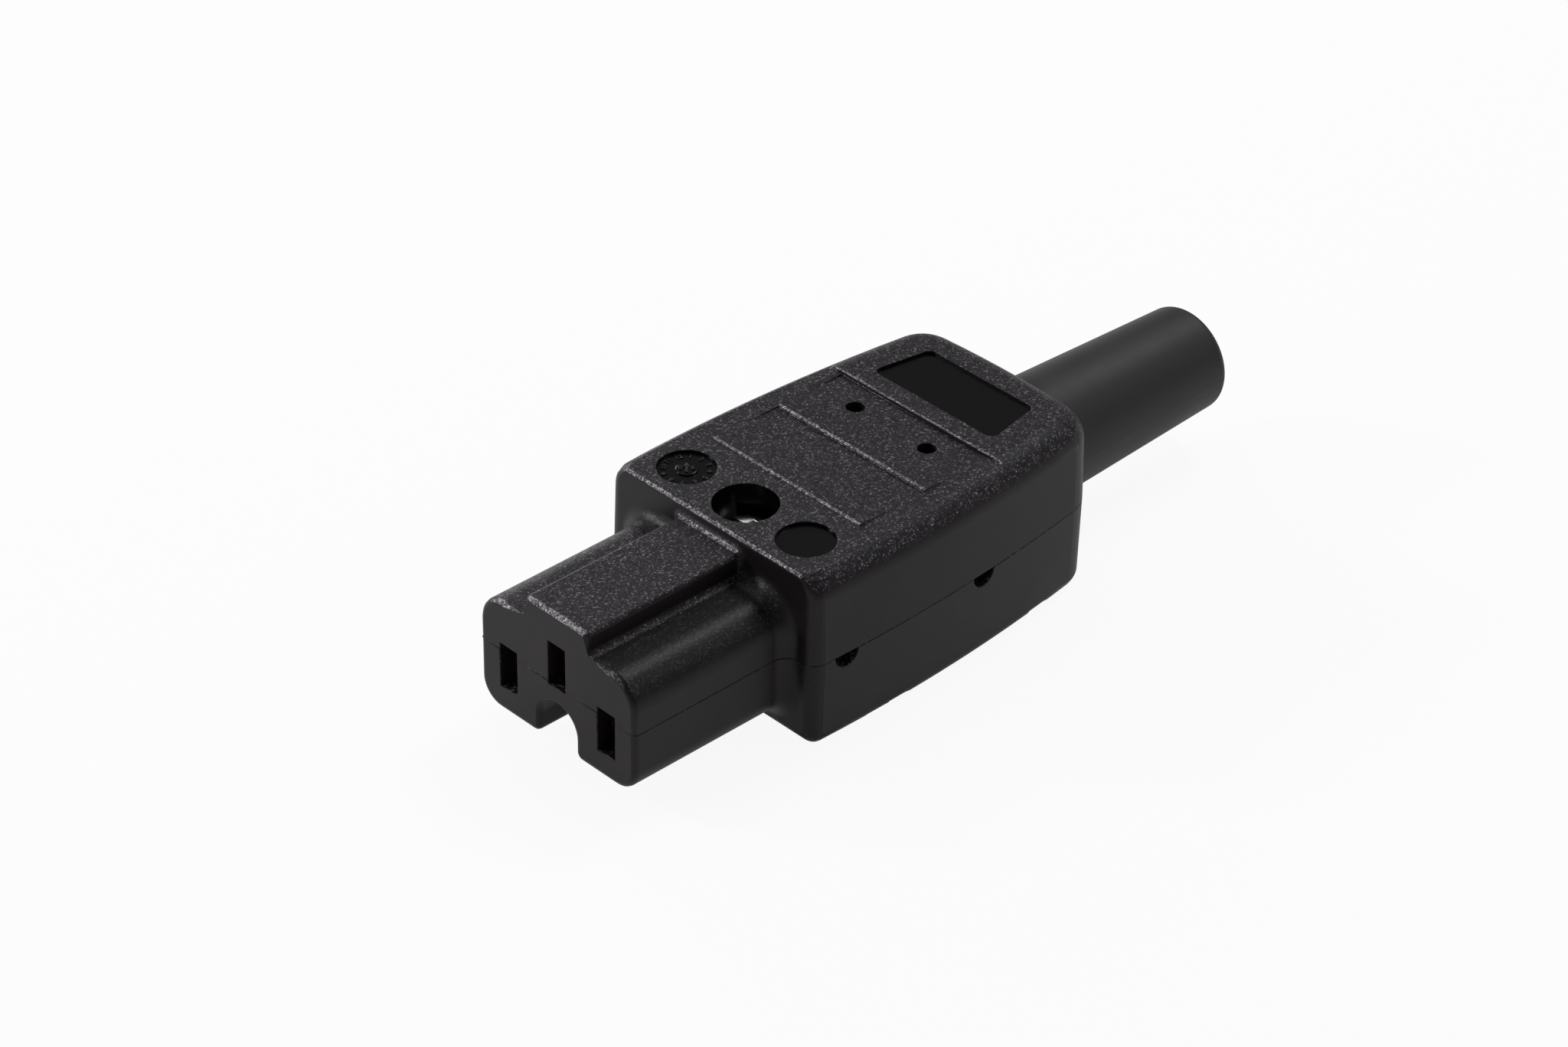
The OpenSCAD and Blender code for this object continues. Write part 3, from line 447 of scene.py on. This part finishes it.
def edge_rounding(edge):
    """Width in millimetres by which an outer edge is rounded. The grip steps run out sharp at their
    ends, and the front corners have the side's own wide rounding."""
    middle = (edge.verts[0].co + edge.verts[1].co) / 2 / MM
    along = (edge.verts[0].co - edge.verts[1].co).normalized()
    if abs(middle.z - PARTING_Z) < NEAR and abs(along.z) < 0.01:
        return SEAM_EDGE
    if middle.y < FACE_Y + NEAR:
        in_slot = any(abs(middle.x - x) < half and abs(middle.z - z) < height
                      for x, z, half, height in CONTACT_SLOTS)
        return SMALL_EDGE if in_slot else FACE_EDGE
    if middle.z > TOP_Z - TOP_BAND:
        if any(abs(middle.y - y) < 5 * NEAR for y in STEP_YS):
            return STEP_EDGE if abs(middle.x) < 1 else 0
        if abs(abs(middle.x) - STEP_HALF) < 2 * NEAR:
            return 0
    in_corner = (CORNER_ZONE_Y < middle.y < CORNER_Y + 0.1 and abs(middle.x) > CORNER_ZONE_X
                 and middle.z > TOP_Z - TOP_R)
    return 0 if in_corner else SMALL_EDGE


def in_recess(face):
    """Whether a face is the floor or the wall of a recess in the top."""
    spots = [corner.co / MM for corner in face.verts]
    if min(spot.z for spot in spots) < PARTING_Z + 0.1:
        return False
    if any(all(math.hypot(spot.x - x, spot.y - y) < radius + 2 * NEAR for spot in spots)
           for x, y, radius in RECESS_DISCS):
        return True
    return all(PANEL_YS[0] < spot.y < PANEL_YS[1] and abs(spot.x) < PANEL_HALF for spot in spots)


def polish_share(face):
    """How polished a face is, and how much shade is painted on it, from 0 to 1: recesses are
    polished;
    the nose's shoulder beside the ridge, which the ridge shadows, and the hollows at the root of
    the nose beside the ridge get painted shade at half strength, less where they turn down to the
    side."""
    if in_recess(face):
        return 1.0
    middle = face.calc_center_median() / MM
    on_root = middle.y > FRONT_Y - FLARE and abs(middle.x) > RIDGE_X
    on_nose = middle.y < FRONT_Y - 0.05
    if on_nose and (middle.x > SHADED_X or on_root) and face.normal.z > 0.05:
        return SHOULDER_SHADE * min(1.0, face.normal.z / 0.4)
    return 0.0


def frost_share(face):
    """How much painted glint a face gets, from 0 to 1: the rounded edges between a top and a front,
    which would mirror the front-left lamp, and the root of the nose; less on the nose's shoulder
    beside the ridge and on the root beside the ridge, which lie in shade."""
    middle = face.center / MM
    if face.normal.dot(CREST) < 0.7 or middle.z < PARTING_Z + 1:
        return 0.0
    if middle.y < FACE_Y + 1:
        return SHADED_GLINT if middle.x > SHADED_X else 1.0
    if middle.y < FRONT_Y - FLARE - 0.1:
        return 0.0
    if middle.y < FRONT_Y - 0.05:
        return ROOT_GLINT if abs(middle.x) > RIDGE_X else 1.0
    by_an_edge = any(abs(middle.y - y) < 0.6 for y in (FRONT_Y, *STEP_YS))
    return 1.0 if by_an_edge and middle.z > TOP_Z - 1 else 0.0


def finish_shell(mesh, walls, node, name):
    """One shell of the housing with the moulded edges that the eye finds: its outer edges are
    rounded, and its faces are marked with how polished they are and where shade and glint are
    painted."""
    weight = mesh.edges.layers.float.new("bevel_weight_edge")
    for edge in mesh.edges:
        if is_outer_edge(edge, walls):
            edge[weight] = edge_rounding(edge)
    polish_and_shade = mesh.faces.layers.float.new("polish_and_shade")
    glint_strip = mesh.faces.layers.float.new("glint_strip")
    # Painted glint strips behind the steps, and polish with painted shade on the nose
    for face in mesh.faces:
        face[glint_strip] = GLINT_STRIP_SHARE if is_worn(face) else 0.0
        face[polish_and_shade] = polish_share(face)
        face.smooth = True
    piece = new_piece(name, mesh, "housing_plastic", 32)
    bevel = piece.modifiers.new("rounded edges", "BEVEL")
    bevel.limit_method = "WEIGHT"
    bevel.width = MM
    bevel.segments = 3
    bevel.use_clamp_overlap = False
    even = piece.modifiers.new("flat faces stay flat", "WEIGHTED_NORMAL")
    even.keep_sharp = True
    piece.data = mesh_of(piece)
    piece.modifiers.clear()
    # Painted glint on the front edges, by how far each face is turned to the front-left lamp
    glint_layer = piece.data.attributes.new("front_edge", "FLOAT", "FACE")
    glint_layer.data.foreach_set("value", [frost_share(face) for face in piece.data.polygons])
    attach(piece, "root")
    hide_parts(node)


# The date dial in the left recess: centre in millimetres, bearings in degrees clockwise from +y
DIAL = (-8.45, -19.7)
DIAL_TWELVE = -68
DIAL_POINTS = -46
NUMBERS_R = 2.3
NUMBERS_SIZE = 0.82
YEAR_SIZE = 0.9
YEAR_SIDE = 0.62
RELIEF = 0.16
RELIEF_EDGE = 0.035
ARROW = ((-0.11, -0.75), (0.11, -0.75), (0.11, 0.2), (0.33, 0.2), (0, 0.85), (-0.33, 0.2),
         (-0.11, 0.2))


def relief(curve):
    """The mesh of a flat curve, raised and with rounded edges, on the plane z = 0."""
    curve.extrude = RELIEF / 2 * MM
    curve.bevel_depth = RELIEF_EDGE * MM
    curve.bevel_resolution = 1
    holder = bpy.data.objects.new(curve.name, curve)
    scene.collection.objects.link(holder)
    mesh = mesh_of(holder)
    bpy.data.objects.remove(holder)
    return mesh


def relief_text(text, size):
    """A raised figure, centred on the origin."""
    curve = bpy.data.curves.new("figure", "FONT")
    curve.body = text
    curve.size = size * MM
    curve.align_x, curve.align_y = "CENTER", "CENTER"
    curve.resolution_u = 4
    return relief(curve)


def relief_outline(points):
    """A raised flat shape, from its outline in millimetres."""
    curve = bpy.data.curves.new("outline", "CURVE")
    curve.dimensions = "2D"
    curve.fill_mode = "BOTH"
    line = curve.splines.new("POLY")
    line.points.add(len(points) - 1)
    for point, (x, y) in zip(line.points, points):
        point.co = (x * MM, y * MM, 0, 1)
    line.use_cyclic_u = True
    return relief(curve)


def make_dial(wall):
    """Date dial on the recess floor: the months round its rim, an arrow and the year on its hub."""
    marks = bmesh.new()

    def put(mesh, x, y, degrees):
        """Stands a mark on the surface below it, turned clockwise."""
        spot = mm(DIAL[0] + x, DIAL[1] + y, 50)
        spot.z = wall.ray_cast(spot, Vector((0, 0, -1)))[0].z
        turn = Matrix.Rotation(-math.radians(degrees), 4, "Z")
        mesh.transform(Matrix.Translation(spot) @ turn)
        marks.from_mesh(mesh)
        bpy.data.meshes.remove(mesh)

    for month in range(1, 13):
        degrees = DIAL_TWELVE + month * 30
        bearing = math.radians(degrees)
        put(relief_text(str(month), NUMBERS_SIZE),
            NUMBERS_R * math.sin(bearing), NUMBERS_R * math.cos(bearing), degrees)
    put(relief_outline(ARROW), 0, 0, DIAL_POINTS)
    bearing = math.radians(DIAL_POINTS)
    for figure, side in (("0", -YEAR_SIDE), ("6", YEAR_SIDE)):
        put(relief_text(figure, YEAR_SIZE),
            math.cos(bearing) * side, -math.sin(bearing) * side, DIAL_POINTS)
    bmesh.ops.remove_doubles(marks, verts=marks.verts, dist=1e-7)
    bmesh.ops.recalc_face_normals(marks, faces=marks.faces)
    piece = new_piece("date_dial", marks, "housing_plastic", 50)
    polish_and_shade = piece.data.attributes.new("polish_and_shade", "FLOAT", "FACE")
    polish_and_shade.data.foreach_set("value", [0.3] * len(piece.data.polygons))
    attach(piece, "root")


def finish_screw():
    """The housing screw with its edges broken, so that the head catches the light in its hole."""
    mesh = welded("housing_screw")
    merge_flat_faces(mesh)
    edges = [edge for edge in mesh.edges
             if edge.is_convex and edge.calc_face_angle(0) > math.radians(35)
             and min(corner.co.z for corner in edge.verts) > PARTING_Z * MM]
    bmesh.ops.bevel(mesh, geom=edges, offset=SCREW_EDGE * MM, segments=2, affect="EDGES",
                    profile=0.5)
    for face in mesh.faces:
        face.smooth = True
    piece = new_piece("housing_screw_head", mesh, "screw_steel", 35)
    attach(piece, "root")
    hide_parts("housing_screw")


finish_screw()
upper, lower = shell_mesh("upper_shell"), shell_mesh("lower_shell")
walls = [BVHTree.FromBMesh(upper), BVHTree.FromBMesh(lower)]
finish_shell(upper, walls, "upper_shell", "upper_housing")
make_dial(walls[0])
finish_shell(lower, walls, "lower_shell", "lower_housing")


# Floor, world and lamps, in metres
FLOOR_HALF = 3.0
FLOOR_SEEN = 0.92
FLOOR_MIRRORED = 0.4
SKY_LIGHT = 0.17


def make_floor():
    """White ground that glows to the camera and keeps a faint shadow of the object."""
    half = FLOOR_HALF
    mesh = bpy.data.meshes.new("floor")
    mesh.from_pydata([(-half, -half, 0), (half, -half, 0), (half, half, 0), (-half, half, 0)],
                     [], [(0, 1, 2, 3)])
    floor = bpy.data.objects.new("floor", mesh)
    scene.collection.objects.link(floor)
    material, tree, out, _ = new_material("white_ground")
    path = add(tree, "ShaderNodeLightPath")
    mirrored = add(tree, "ShaderNodeMath", {0: path.outputs["Is Glossy Ray"], 1: FLOOR_MIRRORED},
                   operation="MULTIPLY")
    seen = add(tree, "ShaderNodeMath", {0: path.outputs["Is Camera Ray"], 1: FLOOR_SEEN},
               operation="MULTIPLY")
    share = add(tree, "ShaderNodeMath", {0: seen.outputs[0], 1: mirrored.outputs[0]},
                operation="MAXIMUM")
    matt = add(tree, "ShaderNodeBsdfDiffuse", Color=linear("#f4f4f4"))
    lit = add(tree, "ShaderNodeEmission", Color=(1, 1, 1, 1), Strength=1.0)
    mix = add(tree, "ShaderNodeMixShader",
              {0: share.outputs[0], 1: matt.outputs[0], 2: lit.outputs[0]})
    tree.links.new(mix.outputs[0], out.inputs[0])
    mesh.materials.append(material)


def make_world():
    """White to the camera and through clear things, and dim as a light."""
    world = bpy.data.worlds.new("studio")
    scene.world = world
    world.use_nodes = True
    tree = world.node_tree
    tree.nodes.clear()
    out = add(tree, "ShaderNodeOutputWorld")
    path = add(tree, "ShaderNodeLightPath")
    seen = add(tree, "ShaderNodeMath",
               {0: path.outputs["Is Camera Ray"], 1: path.outputs["Is Transmission Ray"]},
               operation="MAXIMUM")
    strength = add(tree, "ShaderNodeMapRange", {"Value": seen.outputs[0]},
                   To_Min=SKY_LIGHT, To_Max=1.0)
    sky = add(tree, "ShaderNodeBackground", {"Strength": strength.outputs[0]},
              Color=(1, 1, 1, 1))
    tree.links.new(sky.outputs[0], out.inputs[0])


def softbox(name, place, aim, side, watts):
    """A square lamp that faces a point."""
    lamp = bpy.data.lights.new(name, "AREA")
    lamp.size = side
    lamp.energy = watts
    holder = bpy.data.objects.new(name, lamp)
    scene.collection.objects.link(holder)
    holder.location = place
    holder.rotation_mode = "QUATERNION"
    holder.rotation_quaternion = (Vector(place) - Vector(aim)).to_track_quat("Z", "Y")


make_floor()
make_world()
softbox("front_left", (-0.6, -0.47, 0.36), (0, 0, 0.01), 0.12, 3.0)
softbox("left", (-0.8, 0.25, 0.25), (0, 0, 0.01), 0.3, 1.7)
softbox("back", (-0.05, 0.55, 0.78), (0, 0, 0.01), 0.25, 2.5)
softbox("back_right", (0.5, 0.5, 0.52), (0, 0, 0.01), 0.4, 0.6)
softbox("overhead", (-0.35, 0.05, 0.8), (0, 0, 0), 0.5, 0.8)
scene.view_settings.view_transform = "Standard"
